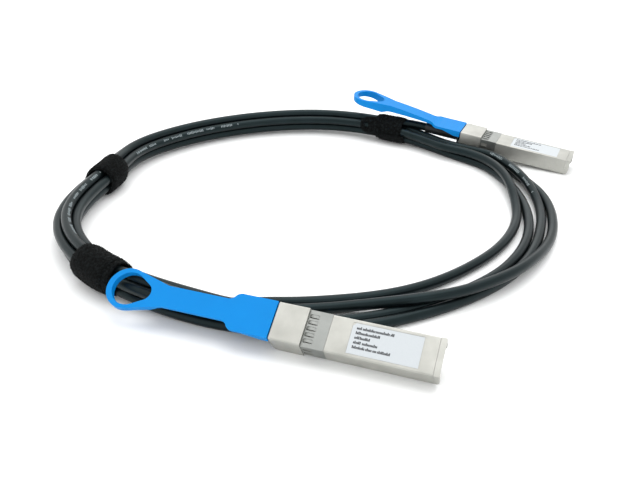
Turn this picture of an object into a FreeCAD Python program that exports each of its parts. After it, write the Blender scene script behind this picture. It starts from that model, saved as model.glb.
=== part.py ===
"""Direct attach copper cable: a coiled twinax cable with a small form-factor plug on each end."""
import FreeCAD, Part
import math
import os
import re
import Sketcher

V = FreeCAD.Vector
doc = FreeCAD.newDocument("direct_attach_copper_cable")

# ---------------------------------------------------------------- driving dimensions, in mm and degrees
# Each plug is drawn in its own frame: x along the plug with the cage's stop plane at x = 0 and the tip
# ahead of it, z up with the bottom of the body at z = 0, and the cable leaving towards -x.
DRIVING = [
    ("body_width", 13.6, "width of the plug body inside the cage"),
    ("body_height", 8.5, "height of the plug body"),
    ("body_length", 47.5, "stop plane to tip"),
    ("cover_end", 45.4, "front edge of the upper housing"),
    ("head_length", 11, "head block behind the stop plane"),
    ("head_width", 14, "width of the head block"),
    ("head_top", 9.64, "top of the head block"),
    ("head_bevel", 2, "bevel under the back of the head"),
    ("wall_thick", 0.95, "side walls of the housings"),
    ("roof_thick", 1.2, "top wall of the housings"),
    ("floor_thick", 1.1, "bottom wall, and height of the parting line"),
    ("rail_top", 3.2, "top of the nose rails beside the card edge"),
    ("rail_start", 37.1, "where the bottom opens for the card edge"),
    ("edge_chamfer", 1.05, "45 degree chamfer along the bottom edges"),
    ("seat_depth", 0.3, "recess that the collar sits in"),
    ("seat_length", 8.65, "length of the collar's recess"),
    ("channel_width", 6.3, "release channel in the bottom"),
    ("channel_depth", 0.85, "depth of the release channel"),
    ("boss_start", 2.5, "latch shoulder from the stop plane"),
    ("boss_size", 2.6, "width and length of the latch boss"),
    ("boss_drop", 0.45, "latch boss below the bottom"),
    ("cable_axis", 4.4, "height of the cable's axis"),
    ("cable_diameter", 4.4, "twinax jacket"),
    ("boot_diameter", 5.6, "sleeve over the cable"),
    ("boot_end", 32, "end of the sleeve behind the stop plane"),
    ("card_bottom", 2.25, "underside of the paddle card"),
    ("card_thick", 1, "paddle card"),
    ("card_end", 44.3, "front edge of the paddle card"),
    ("card_edge", 9.2, "width of the card's edge connector"),
    ("card_width", 11, "width of the card inside the housing"),
    ("pad_pitch", 0.8, "pitch of the contact pads"),
    ("label_start", 15.9, "back edge of the label"),
    ("label_length", 24.4, "label"),
    ("label_width", 11, "label"),
    ("label_sink", 0.15, "depth of the label's recess"),
    ("screw_place", 14, "housing screws from the stop plane"),
    ("screw_side", 4.75, "housing screws from the middle"),
    ("slide_thick", 0.6, "steel of the release slide"),
    ("slide_play", 0.1, "gap between slide and channel"),
    ("yoke_back", 12.7, "back face of the slide's upright"),
    ("tab_front", 11.4, "front end of the pull tab"),
    ("tab_thick", 1.3, "strap of the pull tab"),
    ("shoulder_end", 24.5, "where the tab starts to narrow"),
    ("neck_start", 29.5, "where the tab is narrow"),
    ("neck_half", 4.15, "half width of the tab's neck"),
    ("ring_centre", 68.1, "centre of the finger ring"),
    ("ring_radius", 7.9, "outside of the finger ring"),
    ("ring_height", 2.55, "height of the finger ring's band"),
    ("bend_start", 24.6, "where the far tab starts to bend up"),
    ("bend_radius", 280, "bend of the far tab"),
    ("tie_bore", 6, "radius of the tied bundle"),
    ("strap_thick", 0.8, "hook-and-loop strap"),
    ("coil_x", -18.48, "middle of the coil"),
    ("coil_y", 19.01, "middle of the coil"),
    ("coil_long", 102.2, "longer half axis of the innermost strand"),
    ("coil_short", 87.5, "shorter half axis of the innermost strand"),
    ("coil_turn", 16, "turn of the coil's longer axis"),
    ("near_x", -13.51, "near plug"),
    ("near_y", -90.24, "near plug"),
    ("near_z", 3.82, "near plug"),
    ("near_yaw", -18.46, "near plug"),
    ("near_pitch", 0.42, "near plug"),
    ("near_roll", 31.73, "near plug, leaning on the outermost strand"),
    ("far_x", 77.24, "far plug"),
    ("far_y", 79.33, "far plug"),
    ("far_z", 3.79, "far plug"),
    ("far_yaw", -24.89, "far plug"),
    ("far_pitch", 4.6, "far plug, held up at the back by the tied bundle"),
    ("far_roll", 2.17, "far plug"),
]
sizes = doc.addObject("Spreadsheet::Sheet", "Sizes")
for row, (alias, number, meaning) in enumerate(DRIVING, 1):
    sizes.set(f"A{row}", meaning)
    sizes.set(f"B{row}", str(number))
    sizes.setAlias(f"B{row}", alias)
doc.recompute()


def bind(text):
    """An expression such as body_width / 2, with each name read from the sheet."""
    return re.sub(r"[a-z]+(?:_[a-z]+)+", lambda name: "Sizes." + name.group(), str(text))


def value(text):
    """The number that an expression on the sheet's names gives."""
    return float(sizes.evalExpression(bind(text)))


# ---------------------------------------------------------------- sketches and features
def new_body(label):
    body = doc.addObject("PartDesign::Body", label)
    body.Label = label
    return body


def origin_part(body, role):
    return next(item for item in body.Origin.OriginFeatures if item.Role == role)


def new_sketch(body, name, plane, offset):
    sketch = body.newObject("Sketcher::SketchObject", f"{body.Name}_{name}")
    sketch.AttachmentSupport = (origin_part(body, plane + "_Plane"), [""])
    sketch.MapMode = "FlatFace"
    sketch.setExpression("AttachmentOffset.Base.z", bind(offset))
    return sketch


def hold_point(sketch, line, end, x, y):
    """Tie a point of a sketch to two expressions, measured from the sketch's origin."""
    for kind, text in (("DistanceX", x), ("DistanceY", y)):
        index = sketch.addConstraint(Sketcher.Constraint(kind, -1, 1, line, end, value(text)))
        sketch.setExpression(f"Constraints[{index}]", bind(text))


def draw_outline(sketch, corners):
    """A closed outline. A corner (x, y) starts a line; (x, y, radius, side) starts an arc that
    bulges to the left (side 1) or right (side -1) of its chord."""
    places = [V(value(corner[0]), value(corner[1]), 0) for corner in corners]
    count = len(corners)
    first = sketch.GeometryCount
    for number, corner in enumerate(corners):
        start, end = places[number], places[(number + 1) % count]
        if len(corner) == 2:
            sketch.addGeometry(Part.LineSegment(start, end))
            continue
        radius, side = value(corner[2]), corner[3]
        chord = end - start
        rise = radius - math.sqrt(radius ** 2 - chord.Length ** 2 / 4)
        outward = V(-chord.y, chord.x, 0).normalize() * (rise * side)
        sketch.addGeometry(Part.Arc(start, (start + end) / 2 + outward, end))
    ends = []
    for number, corner in enumerate(corners):
        # an arc runs counter-clockwise, so one that bulges to the left is stored end to start
        flipped = len(corner) == 4 and corner[3] == 1
        ends.append((2, 1) if flipped else (1, 2))
    for number, corner in enumerate(corners):
        after = (number + 1) % count
        join = (first + number, ends[number][1], first + after, ends[after][0])
        sketch.addConstraint(Sketcher.Constraint("Coincident", *join))
        hold_point(sketch, first + number, ends[number][0], corner[0], corner[1])
        if len(corner) == 4:
            index = sketch.addConstraint(Sketcher.Constraint("Radius", first + number, value(corner[2])))
            sketch.setExpression(f"Constraints[{index}]", bind(corner[2]))


def draw_circle(sketch, x, y, radius):
    line = sketch.addGeometry(Part.Circle(V(value(x), value(y), 0), V(0, 0, 1), value(radius)))
    hold_point(sketch, line, 3, x, y)
    index = sketch.addConstraint(Sketcher.Constraint("Radius", line, value(radius)))
    sketch.setExpression(f"Constraints[{index}]", bind(radius))


def box_outline(left, right, low, high):
    return [(left, low), (right, low), (right, high), (left, high)]


def feature(body, kind, sketch, length, reverse=False, midplane=False):
    """Pad or pocket a sketch, and check that it changed the body."""
    before = 0 if body.Shape.isNull() else body.Shape.Volume
    item = body.newObject("PartDesign::" + kind, sketch.Name + "_" + kind)
    item.Profile = sketch
    item.setExpression("Length", bind(length))
    item.Reversed = reverse
    if midplane:
        item.SideType = "Symmetric"
    doc.recompute()
    change = body.Shape.Volume - before
    if not (change > 1e-4 if kind == "Pad" else change < -1e-4):
        raise RuntimeError(f"{item.Name} {item.State} changed the volume by {change:.4f}")
    return item


def add(body, name, plane, offset, outline, length, **how):
    sketch = new_sketch(body, name, plane, offset)
    draw_outline(sketch, outline)
    return feature(body, "Pad", sketch, length, **how)


def cut(body, name, plane, offset, outline, length, **how):
    sketch = new_sketch(body, name, plane, offset)
    draw_outline(sketch, outline)
    return feature(body, "Pocket", sketch, length, **how)


def round_or_bevel(body, kind, size, wanted):
    """Fillet or chamfer every edge whose middle and direction pass the test."""
    base, names = body.Tip, []
    for number, edge in enumerate(base.Shape.Edges, 1):
        middle = edge.valueAt((edge.FirstParameter + edge.LastParameter) / 2)
        along = edge.tangentAt((edge.FirstParameter + edge.LastParameter) / 2)
        if wanted(middle, along, edge.Length):
            names.append(f"Edge{number}")
    item = body.newObject("PartDesign::" + kind, f"{body.Name}_{kind}_{len(body.Group)}")
    item.Base = (base, names)
    item.setExpression("Radius" if kind == "Fillet" else "Size", bind(size))
    body.Tip = item
    doc.recompute()
    return item


def mirrored(body, items, plane):
    item = body.newObject("PartDesign::Mirrored", f"{items[0].Name}_mirrored")
    item.Originals = items
    item.MirrorPlane = (origin_part(body, plane + "_Plane"), [""])
    body.Tip = item
    doc.recompute()
    return item


def row_of(body, items, axis, step, count):
    """Repeat features along an axis of the body, count times in all."""
    item = body.newObject("PartDesign::LinearPattern", f"{items[0].Name}_row")
    item.Originals = items
    item.Direction = (origin_part(body, axis + "_Axis"), [""])
    item.Occurrences = count
    item.setExpression("Length", bind(f"({step}) * {count - 1}"))
    body.Tip = item
    doc.recompute()
    return item


def plug_place(end):
    turn = FreeCAD.Rotation(value(end + "_yaw"), value(end + "_pitch"), value(end + "_roll"))
    return FreeCAD.Placement(V(value(end + "_x"), value(end + "_y"), value(end + "_z")), turn)


# ---------------------------------------------------------------- the plug's die-cast housing
def upper_housing(end):
    """The inverted U of the body with the head block behind it, closed at the back round the cable."""
    body = new_body(end + "_upper_housing")
    half, inner = "body_width / 2", "body_width / 2 - wall_thick"
    # head, collar seat and body, one behind the other
    add(body, "head", "XY", "floor_thick",
        box_outline("-head_length", "0.3", "-head_width / 2", "head_width / 2"), "head_top - floor_thick")
    add(body, "seat", "XY", "floor_thick",
        box_outline("0.3", "seat_length", f"seat_depth - {half}", f"{half} - seat_depth"),
        "body_height - seat_depth - floor_thick")
    add(body, "cover", "XY", "floor_thick",
        box_outline("seat_length", "cover_end", f"-{half}", half), "body_height - floor_thick")
    # hollow from below, with the roof and side walls left
    cut(body, "cavity", "XY", "floor_thick", box_outline("1.5", "cover_end + 1", f"-({inner})", inner),
        "body_height - roof_thick - floor_thick", reverse=True)
    cut(body, "head_cavity", "XY", "floor_thick",
        box_outline("-head_length + 1.5", "1.5", "-head_width / 2 + 1.1", "head_width / 2 - 1.1"),
        "head_top - 1.3 - floor_thick", reverse=True)
    # the sides end higher beside the card edge, above the rails of the lower housing
    cut(body, "rail_gap", "XZ", "0", box_outline("rail_start + 0.9", "cover_end + 1", "0", "rail_top"),
        "body_width + 1", midplane=True)
    # back wall open downwards round the cable sleeve
    cut(body, "cable_slot", "YZ", "-head_length - 1", box_outline(
        "-boot_diameter / 2 - 0.05", "boot_diameter / 2 + 0.05", "0", "cable_axis"), "3", reverse=True)
    bore = new_sketch(body, "cable_bore", "YZ", "-head_length - 1")
    draw_circle(bore, "0", "cable_axis", "boot_diameter / 2 + 0.05")
    feature(body, "Pocket", bore, "3", reverse=True)
    cut(body, "label_recess", "XY", "body_height", [
        ("label_start", "-label_width / 2 - 0.1"), ("label_start + label_length + 0.2", "-label_width / 2 - 0.1"),
        ("label_start + label_length + 0.2", "label_width / 2 + 0.1"),
        ("label_start", "label_width / 2 + 0.1")], "label_sink")
    # bosses for the housing screws hang from the roof
    post = new_sketch(body, "boss", "XY", "floor_thick")
    draw_circle(post, "screw_place", "screw_side", "1.3")
    posts = feature(body, "Pad", post, "body_height - roof_thick - floor_thick + 0.2")
    hole = new_sketch(body, "pilot", "XY", "floor_thick")
    draw_circle(hole, "screw_place", "screw_side", "0.6")
    holes = feature(body, "Pocket", hole, "4.2", reverse=True)
    mirrored(body, [posts, holes], "XZ")
    bevel_head(body)
    round_or_bevel(body, "Fillet", "0.5", lambda middle, along, length: (
        middle.z > value("body_height") - 0.01 and abs(along.x) > 0.99 and length > 9
        and abs(middle.y) > value("body_width") / 2 - 0.01))
    round_or_bevel(body, "Fillet", "0.35", lambda middle, along, length: (
        abs(middle.x + value("head_length")) < 0.01 and middle.z > 2.2 and length > 6
        and (abs(middle.y) > 6.4 or middle.z > 9)))
    return body


def bevel_head(body):
    """The head's lower back edge is cut off at 45 degrees, through both housings."""
    cut(body, "bevel", "XZ", "0", [
        ("-head_length - 1", "-1"), ("-head_length + head_bevel + 1", "-1"),
        ("-head_length - 1", "head_bevel + 1")], "head_width + 2", midplane=True)


def lower_housing(end):
    """The base plate with its nose rails and tip, the latch boss and the channel of the release slide."""
    body = new_body(end + "_lower_housing")
    half, inner = "body_width / 2", "body_width / 2 - wall_thick"
    add(body, "plate", "XY", "0", box_outline("0.3", "rail_start", f"-{half}", half), "floor_thick")
    add(body, "head_plate", "XY", "0",
        box_outline("-head_length", "0.3", "-head_width / 2", "head_width / 2"), "floor_thick")
    # side rails run to the tip, whose posts and lintel frame the card edge
    add(body, "rails", "XZ", "0", [
        ("rail_start", "0"), ("body_length - 3", "0", "3", -1), ("body_length", "3"),
        ("body_length", "body_height"), ("cover_end + 0.1", "body_height"), ("cover_end + 0.1", "rail_top"),
        ("rail_start + 1", "rail_top"), ("rail_start + 1", "floor_thick"), ("rail_start", "floor_thick")],
        "body_width", midplane=True)
    cut(body, "card_opening", "XY", "-0.5", box_outline("rail_start", "body_length + 1", f"-({inner})", inner),
        "body_height - roof_thick + 0.5", reverse=True)
    # inside: a thicker floor over the channel, a cradle for the cable and ledges for the card
    add(body, "channel_cover", "XY", "floor_thick", box_outline("-head_length + 2.6", "9", "-5.7", "5.7"), "0.5")
    cut(body, "ferrule_room", "XY", "floor_thick + 0.5", box_outline("-3", "9.5", "-6", "-3.4"), "0.5")
    cut(body, "ferrule_room_left", "XY", "floor_thick + 0.5", box_outline("-3", "9.5", "3.4", "6"), "0.5")
    add(body, "cradle", "XY", "floor_thick", box_outline(
        "-head_length", "-head_length + 1.5", "-boot_diameter / 2", "boot_diameter / 2"),
        "cable_axis - floor_thick")
    add(body, "spring_wall", "XY", "floor_thick", box_outline(
        "-head_length + 1.6", "-head_length + 2.4", "3.4", "5.7"), "2.6")
    add(body, "spring_wall_right", "XY", "floor_thick", box_outline(
        "-head_length + 1.6", "-head_length + 2.4", "-5.7", "-3.4"), "2.6")
    ledge = add(body, "card_ledge", "XY", "floor_thick", box_outline(
        "20", "rail_start", "3.9", f"{inner} - 0.05"), "card_bottom - floor_thick")
    mirrored(body, [ledge], "XZ")
    bore = new_sketch(body, "cable_bore", "YZ", "-head_length - 1")
    draw_circle(bore, "0", "cable_axis", "boot_diameter / 2 + 0.05")
    feature(body, "Pocket", bore, "3", reverse=True)
    # underneath: the slide's channel, wide under the head and narrow to the latch boss
    cut(body, "channel", "XY", "0", box_outline(
        "-1", "9", "-channel_width / 2", "channel_width / 2"), "channel_depth", reverse=True)
    cut(body, "wide_channel", "XY", "0", box_outline("-head_length - 1", "-1", "-5.5", "5.5"),
        "channel_depth", reverse=True)
    slot = cut(body, "lug_slot", "XY", "0", box_outline("-5.7", "-2.3", "3.7", "5.5"), "3", reverse=True)
    mirrored(body, [slot], "XZ")
    add(body, "latch_boss", "XY", "channel_depth", [
        ("boss_start", "-boss_size / 2"), ("boss_start + boss_size / 2", "-boss_size / 2"),
        ("boss_start + boss_size", "0"), ("boss_start + boss_size / 2", "boss_size / 2"),
        ("boss_start", "boss_size / 2")], "channel_depth + boss_drop", reverse=True)
    for name, side in (("left", "screw_side"), ("right", "-screw_side")):
        through = new_sketch(body, "screw_hole_" + name, "XY", "0")
        draw_circle(through, "screw_place", side, "0.75")
        feature(body, "Pocket", through, "floor_thick + 1", reverse=True)
        sunk = new_sketch(body, "screw_head_" + name, "XY", "0")
        draw_circle(sunk, "screw_place", side, "1.2")
        feature(body, "Pocket", sunk, "0.55", reverse=True)
    bevel_head(body)
    edge = cut(body, "edge", "YZ", "0.3", [
        (f"{half} - edge_chamfer - 0.5", "-0.5"), (f"{half} + 0.5", "-0.5"),
        (f"{half} + 0.5", "edge_chamfer + 0.5")], "body_length", reverse=True)
    mirrored(body, [edge], "XZ")
    # the collar's seat carries on round the bottom edges
    for name, sign in (("left", ""), ("right", "-")):
        cut(body, "seat_side_" + name, "YZ", "0.3", [
            (f"{sign}({half})", "-1"), (f"{sign}({half} + 1)", "-1"), (f"{sign}({half} + 1)", "2"),
            (f"{sign}({half} - seat_depth)", "2"), (f"{sign}({half} - seat_depth)", "edge_chamfer + 0.12"),
            (f"{sign}({half} - edge_chamfer - 0.12)", "seat_depth"), (f"{sign}3.6", "seat_depth"),
            (f"{sign}3.6", "-1")], "seat_length - 0.3", reverse=True)
    return body


def emi_collar(end):
    """A stamped spring collar in the seat: a band with finger windows, open below round the latch."""
    body = new_body(end + "_emi_collar")
    thick = "(seat_depth - 0.05)"
    wide, high = "body_width / 2", "body_height"

    def ring(inset, corner):
        side, top = f"({wide} - {inset})", f"({high} - {inset})"
        return [(f"-{side} + {corner}", inset), (f"{side} - {corner}", inset), (side, f"{inset} + {corner}"),
                (side, top), (f"-{side}", top), (f"-{side}", f"{inset} + {corner}")]

    sketch = new_sketch(body, "band", "YZ", "0.4")
    draw_outline(sketch, ring("0", "edge_chamfer"))
    draw_outline(sketch, ring(thick, f"(edge_chamfer - 0.59 * {thick})"))
    feature(body, "Pad", sketch, "seat_length - 0.5")
    cut(body, "latch_gap", "XY", "-0.5", box_outline("0", "seat_length + 1", "-3.7", "3.7"), "1", reverse=True)
    # five windows across the top, each bridged by a bowed finger, and two on each side
    window = cut(body, "window", "XY", f"{high} + 0.1", box_outline("0.9", "4.1", "-5.25", "-3.75"), "0.5")
    row_of(body, [window], "Y", "2.25", 5)
    finger = add(body, "finger", "XZ", "5", [
        ("0.7", high, "3.9", 1), ("4.3", high), ("4.3", f"{high} - {thick}"),
        ("3.9", f"{high} - {thick}", "3.4", -1), ("1.1", f"{high} - {thick}"),
        ("0.7", f"{high} - {thick}")], "1", reverse=True)
    row_of(body, [finger], "Y", "2.25", 5)
    side = cut(body, "side_window", "XZ", f"{wide} + 0.1", box_outline("0.9", "4.1", "2", "3.6"), "0.5")
    side_high = cut(body, "side_window_high", "XZ", f"{wide} + 0.1",
                    box_outline("0.9", "4.1", "5", "6.6"), "0.5")
    mirrored(body, [side, side_high], "XZ")
    return body


def label(end):
    """A thin label in the recess of the upper housing, with one small corner cut off."""
    body = new_body(end + "_label")
    add(body, "sheet", "XY", "body_height - label_sink", [
        ("label_start + 0.1", "-label_width / 2"), ("label_start + label_length", "-label_width / 2"),
        ("label_start + label_length", "label_width / 2"), ("label_start + 1.2", "label_width / 2"),
        ("label_start + 0.1", "label_width / 2 - 1.1")], "0.1")
    return body


# ---------------------------------------------------------------- inside the housing
def paddle_card(end):
    """The circuit card, narrower at the edge connector, with its front edges bevelled."""
    body = new_body(end + "_paddle_card")
    wide, edge = "card_width / 2", "card_edge / 2"
    add(body, "card", "XY", "card_bottom", [
        ("20", f"-{wide}"), ("rail_start - 0.4", f"-{wide}"), ("rail_start - 0.4", f"-{edge}"),
        ("card_end", f"-{edge}"), ("card_end", edge), ("rail_start - 0.4", edge),
        ("rail_start - 0.4", wide), ("20", wide)], "card_thick")
    round_or_bevel(body, "Chamfer", "0.25", lambda middle, along, length: (
        abs(middle.x - value("card_end")) < 0.01 and abs(along.y) > 0.99))
    return body


def contact_pads(end):
    """Ten gold pads on each face of the card's edge, as separate solids."""
    body = new_body(end + "_contact_pads")
    body.AllowCompound = True
    top = add(body, "top_pad", "XY", "card_bottom + card_thick", box_outline(
        "card_end - 3.4", "card_end - 0.5", "-4.5 * pad_pitch - 0.27", "-4.5 * pad_pitch + 0.27"), "0.05")
    low = add(body, "low_pad", "XY", "card_bottom", box_outline(
        "card_end - 3.4", "card_end - 0.5", "-4.5 * pad_pitch - 0.27", "-4.5 * pad_pitch + 0.27"),
        "0.05", reverse=True)
    row_of(body, [top, low], "Y", "pad_pitch", 10)
    return body


def core_pairs(end):
    """Two shielded pairs, one for each direction, from the ferrule down to the card's top face."""
    body = new_body(end + "_core_pairs")
    body.AllowCompound = True
    for name, side in (("left", "1.15"), ("right", "-1.15")):
        path = new_sketch(body, "path_" + name, "XZ", f"-({side})")
        landing = "card_bottom + card_thick + 0.65"
        steps = [("-9.6", "cable_axis"), ("6", "cable_axis"), ("14", landing), ("23", landing)]
        for number in range(3):
            start = V(value(steps[number][0]), value(steps[number][1]), 0)
            finish = V(value(steps[number + 1][0]), value(steps[number + 1][1]), 0)
            path.addGeometry(Part.LineSegment(start, finish))
            hold_point(path, number, 1, *steps[number])
        for number in range(2):
            path.addConstraint(Sketcher.Constraint("Coincident", number, 2, number + 1, 1))
        hold_point(path, 2, 2, *steps[3])
        profile = new_sketch(body, "pair_" + name, "YZ", "-9.6")
        draw_outline(profile, [
            (f"{side} - 0.4", "cable_axis - 0.6"), (f"{side} + 0.4", "cable_axis - 0.6", "0.6", -1),
            (f"{side} + 1", "cable_axis", "0.6", -1), (f"{side} + 0.4", "cable_axis + 0.6"),
            (f"{side} - 0.4", "cable_axis + 0.6", "0.6", -1), (f"{side} - 1", "cable_axis", "0.6", -1)])
        pipe = body.newObject("PartDesign::AdditivePipe", f"{body.Name}_{name}")
        pipe.Profile = profile
        pipe.Spine = (path, ["Edge1", "Edge2", "Edge3"])
        pipe.Transition = 1
        doc.recompute()
    return body


def revolved(end, name, corners):
    """A ring turned about the cable's axis."""
    body = new_body(f"{end}_{name}")
    sketch = new_sketch(body, "half_section", "XZ", "0")
    draw_outline(sketch, corners)
    axis = sketch.addGeometry(Part.LineSegment(V(-40, value("cable_axis"), 0), V(0, value("cable_axis"), 0)), True)
    sketch.addConstraint(Sketcher.Constraint("Horizontal", axis))
    hold_point(sketch, axis, 1, "-40", "cable_axis")
    turn = body.newObject("PartDesign::Revolution", body.Name + "_turn")
    turn.Profile = sketch
    turn.ReferenceAxis = (sketch, ["Axis0"])
    turn.Angle = 360
    doc.recompute()
    return body


def crimp_ferrule(end):
    """The ferrule that crimps the cable's braid, with a flange at its back."""
    core, skin = "cable_axis + 2.15", "cable_axis + 2.55"
    return revolved(end, "crimp_ferrule", [
        ("-head_length + 2.6", core), ("-3.4", core), ("-3.4", skin), ("-head_length + 3.2", skin),
        ("-head_length + 3.2", "cable_axis + 2.75"), ("-head_length + 2.6", "cable_axis + 2.75")])


def cable_boot(end):
    """The sleeve on the cable: a flange held behind the back wall, a plain barrel and a thin lip."""
    bore, barrel = "cable_axis + cable_diameter / 2", "cable_axis + boot_diameter / 2"
    return revolved(end, "cable_boot", [
        ("-boot_end", bore), ("-head_length + 2.4", bore), ("-head_length + 2.4", f"{barrel} + 0.4"),
        ("-head_length + 1.6", f"{barrel} + 0.4"), ("-head_length + 1.6", barrel),
        ("-boot_end + 0.4", barrel), ("-boot_end", f"{barrel} - 0.3")])


def release_slide(end):
    """The steel slide: a fork round the latch boss, spring lugs, and an upright behind the head whose
    tongue is moulded into the pull tab."""
    body = new_body(end + "_release_slide")
    low, play = "0.12", "slide_play"
    tine, slot = f"channel_width / 2 - {play}", "boss_size / 2 + 0.2"
    add(body, "plate", "XY", low, [
        ("-yoke_back", "-5.3"), ("-1.4", "-5.3"), ("-1.4", f"-({tine})"), ("6.6", f"-({tine})"),
        ("6.6", f"-({slot})"), ("0.2", f"-({slot})"), ("0.2", slot), ("6.6", slot), ("6.6", tine),
        ("-1.4", tine), ("-1.4", "5.3"), ("-yoke_back", "5.3")], "slide_thick")
    # the upright stands behind the head, with a hole for the cable's sleeve
    add(body, "upright", "YZ", "-yoke_back", box_outline("-5.3", "5.3", low, "head_top - 0.8"), "slide_thick")
    hole = new_sketch(body, "sleeve_hole", "YZ", "-yoke_back - 1")
    draw_circle(hole, "0", "cable_axis", "boot_diameter / 2 + 0.35")
    feature(body, "Pocket", hole, "3", reverse=True)
    add(body, "tongue", "XY", "head_top - 0.8", box_outline("-19", "-yoke_back + slide_thick", "-4", "4"),
        "0.5", reverse=True)
    lug = add(body, "lug", "XY", f"{low} + slide_thick", box_outline("-3.1", "-2.5", "4", "5.3"), "3")
    mirrored(body, [lug], "XZ")
    # the ends of the tines are ramps that lift the cage's latch
    cut(body, "ramp", "XZ", "0", [("6.05", "0"), ("6.8", "0"), ("6.8", "0.75")],
        "channel_width", midplane=True)
    return body


def return_springs(end):
    """Two small compression springs between the housing's walls and the slide's lugs."""
    wire, coils, radius = 0.15, 5, 0.65
    start, length = -value("head_length") + 2.5 + wire, 5.2 - 2 * wire
    springs = []
    for side in (-4.65, 4.65):
        helix = Part.makeHelix(length / coils, length, radius)
        profile = Part.Wire([Part.makeCircle(wire, V(radius, 0, 0), V(0, 1, 0))])
        spring = Part.Wire(helix.Edges).makePipeShell([profile], True, True)
        spring.Placement = FreeCAD.Placement(V(start, side, 2.45), FreeCAD.Rotation(V(0, 1, 0), 90))
        springs.append(spring)
    item = doc.addObject("Part::Feature", end + "_return_springs")
    item.Shape = Part.makeCompound(springs)
    return item


def housing_screws(end):
    """Two small pan-head screws that hold the housings together from below."""
    body = new_body(end + "_housing_screws")
    body.AllowCompound = True
    made = []
    for name, side in (("left", "screw_side"), ("right", "-screw_side")):
        head = new_sketch(body, "head_" + name, "XY", "0.05")
        draw_circle(head, "screw_place", side, "1.1")
        made.append(feature(body, "Pad", head, "0.5"))
        shank = new_sketch(body, "shank_" + name, "XY", "0.05")
        draw_circle(shank, "screw_place", side, "0.6")
        made.append(feature(body, "Pad", shank, "4.4"))
    return body


# ---------------------------------------------------------------- the pull tab
def draw_egg(sketch, x_big, big, x_small, small):
    """Two circles on the x axis of a sketch, joined by their outer tangents."""
    centres = V(value(x_big), 0, 0), V(value(x_small), 0, 0)
    radii = value(big), value(small)
    lean = math.acos((radii[0] - radii[1]) / (centres[1] - centres[0]).Length)
    for centre, radius, start, end in ((centres[0], radii[0], lean, 2 * math.pi - lean),
                                       (centres[1], radii[1], -lean, lean)):
        sketch.addGeometry(Part.ArcOfCircle(Part.Circle(centre, V(0, 0, 1), radius), start, end))
    touch = [[centre + V(math.cos(lean), side * math.sin(lean), 0) * radius
              for centre, radius in zip(centres, radii)] for side in (1, -1)]
    for pair in touch:
        sketch.addGeometry(Part.LineSegment(*pair))
    for arc, line, arc_end, line_end in ((0, 2, 1, 1), (1, 2, 2, 2), (0, 3, 2, 1), (1, 3, 1, 2)):
        sketch.addConstraint(Sketcher.Constraint("Tangent", arc, arc_end, line, line_end))
    for arc, centre, radius in ((0, x_big, big), (1, x_small, small)):
        hold_point(sketch, arc, 3, centre, "0")
        index = sketch.addConstraint(Sketcher.Constraint("Radius", arc, value(radius)))
        sketch.setExpression(f"Constraints[{index}]", bind(radius))


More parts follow.
